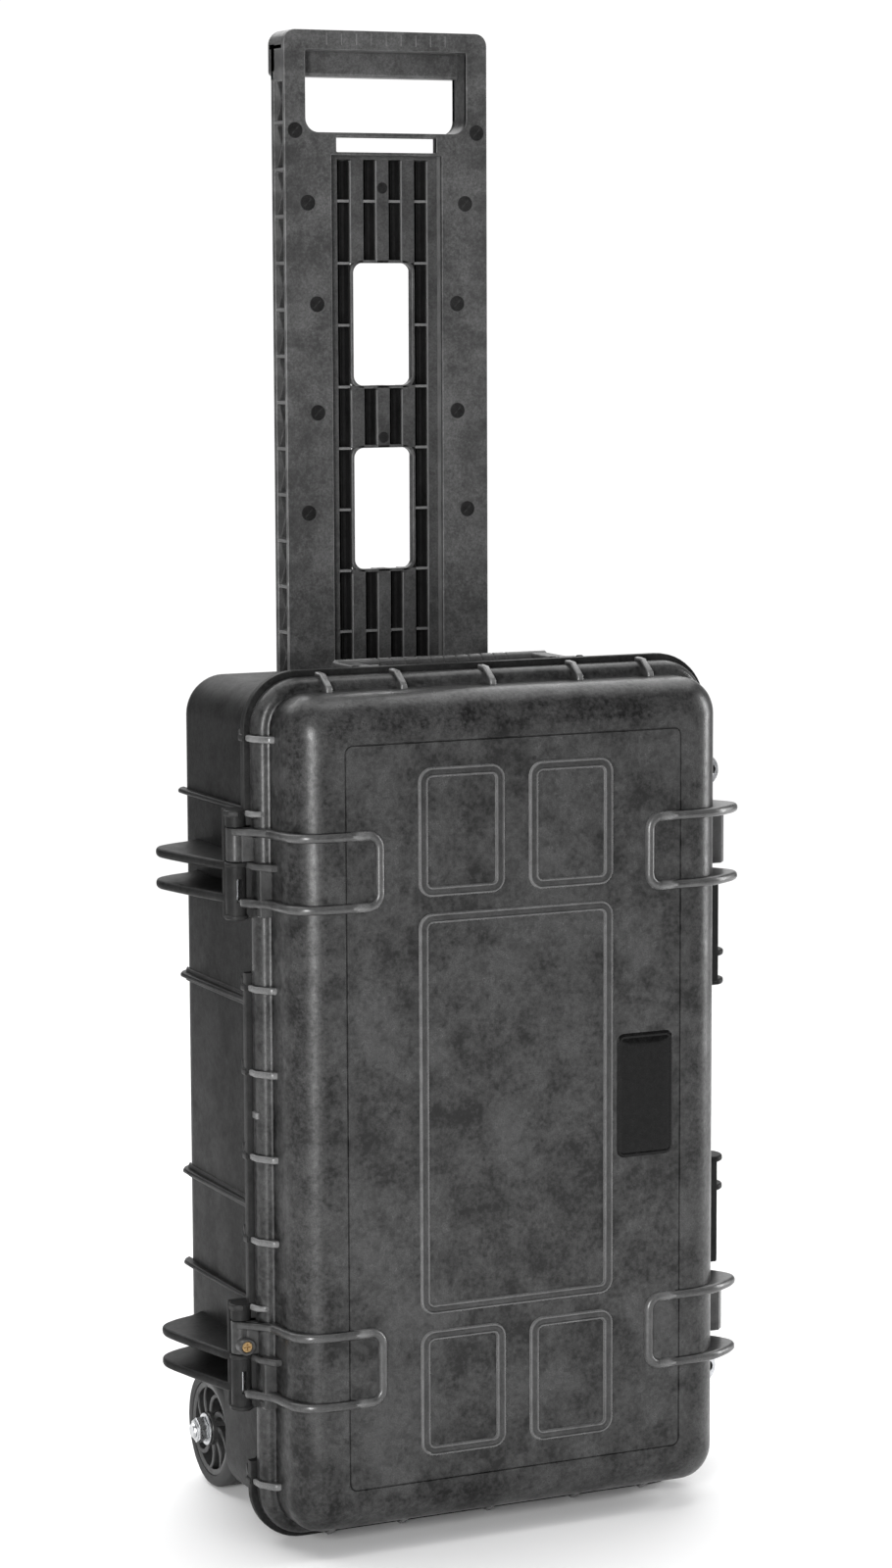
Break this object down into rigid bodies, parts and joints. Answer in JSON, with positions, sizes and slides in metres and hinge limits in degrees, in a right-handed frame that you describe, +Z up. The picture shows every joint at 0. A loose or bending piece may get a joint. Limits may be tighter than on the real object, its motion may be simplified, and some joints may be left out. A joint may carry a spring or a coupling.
{
  "type": "wheeled hard equipment case",
  "caption": "Upright hard equipment case with a hinged ribbed lid, draw latches, fold-flat carry handles, a pull-up trolley handle and corner wheels.",
  "frame": {"origin": "bottom centre of the bounding box with the case closed and standing upright, trolley handle pulled up", "axes": "+Z up, -Y out of the lid's face, +Y towards the trolley handle, +X towards the latches"},
  "size_m": [0.375, 0.2216, 0.947],
  "materials": {
    "shell_black": "textured",
    "trim_black": "satin",
    "label_gloss": "gloss",
    "seal_rubber": "matte",
    "tyre_rubber": "matte",
    "steel": "satin",
    "zinc": "satin",
    "brass": "satin"
  },
  "bodies": {
    "base": {"base_shell": "shell_black", "hinge_pin_upper": "steel", "hinge_pin_lower": "steel", "latch_pin_upper": "steel", "latch_pin_lower": "steel", "side_handle_pins": "steel", "top_handle_pins": "steel", "trolley_cover": "trim_black", "trolley_cover_screws": "steel", "axle_bolt_left": "zinc", "axle_bolt_right": "zinc", "axle_washer_left": "zinc", "axle_washer_right": "zinc", "axle_nut_left": "zinc", "axle_nut_right": "zinc"},
    "lid": {"lid_shell": "shell_black", "lid_gasket": "seal_rubber", "label_plate": "label_gloss", "hinge_lock_screw": "brass", "padlock_plate_upper": "steel", "padlock_plate_lower": "steel"},
    "lever_upper": {"latch_lever_upper": "trim_black", "claw_pin_upper": "steel"},
    "lever_lower": {"latch_lever_lower": "trim_black", "claw_pin_lower": "steel"},
    "claw_upper": {"latch_claw_upper": "trim_black"},
    "claw_lower": {"latch_claw_lower": "trim_black"},
    "side_grip": {"side_handle": "trim_black"},
    "top_grip": {"top_handle": "trim_black"},
    "trolley": {"trolley_handle": "trim_black"},
    "wheel_left": {"wheel_hub_left": "trim_black", "wheel_tyre_left": "tyre_rubber", "wheel_bush_left": "steel"},
    "wheel_right": {"wheel_hub_right": "trim_black", "wheel_tyre_right": "tyre_rubber", "wheel_bush_right": "steel"}
  },
  "joints": [
    {"name": "lid_hinge", "type": "hinge", "parent": "base", "child": "lid", "pos_m": [-0.165, -0.05285, 0.2745], "axis": [0, 0, -1], "range_deg": [0, 105]},
    {"name": "latch_lever_upper_pivot", "type": "hinge", "parent": "base", "child": "lever_upper", "pos_m": [0.16, -0.03485, 0.4295], "axis": [0, 0, -1], "range_deg": [0, 90]},
    {"name": "latch_claw_upper_pivot", "type": "hinge", "parent": "lever_upper", "child": "claw_upper", "pos_m": [0.1685, -0.02885, 0.4295], "axis": [0, 0, 1], "range_deg": [0, 108]},
    {"name": "latch_lever_lower_pivot", "type": "hinge", "parent": "base", "child": "lever_lower", "pos_m": [0.16, -0.03485, 0.1195], "axis": [0, 0, -1], "range_deg": [0, 90]},
    {"name": "latch_claw_lower_pivot", "type": "hinge", "parent": "lever_lower", "child": "claw_lower", "pos_m": [0.1685, -0.02885, 0.1195], "axis": [0, 0, 1], "range_deg": [0, 108]},
    {"name": "side_handle_pivot", "type": "hinge", "parent": "base", "child": "side_grip", "pos_m": [0.168, -0.04285, 0.2722], "axis": [0, 0, -1], "range_deg": [0, 90]},
    {"name": "top_handle_pivot", "type": "hinge", "parent": "base", "child": "top_grip", "pos_m": [0, -0.03985, 0.5435], "axis": [1, 0, 0], "range_deg": [0, 90]},
    {"name": "trolley_slide", "type": "slide", "parent": "base", "child": "trolley", "axis": [0, 0, 1], "range_m": [-0.4, 0]},
    {"name": "wheel_left_spin", "type": "hinge", "parent": "base", "child": "wheel_left", "pos_m": [-0.1286, 0.06785, 0.0385], "axis": [1, 0, 0], "continuous": true},
    {"name": "wheel_right_spin", "type": "hinge", "parent": "base", "child": "wheel_right", "pos_m": [0.1286, 0.06785, 0.0385], "axis": [1, 0, 0], "continuous": true}
  ],
  "couplings": [
    {"joint": "latch_claw_upper_pivot", "follows": "latch_lever_upper_pivot", "ratio": 1.2},
    {"joint": "latch_claw_lower_pivot", "follows": "latch_lever_lower_pivot", "ratio": 1.2}
  ]
}
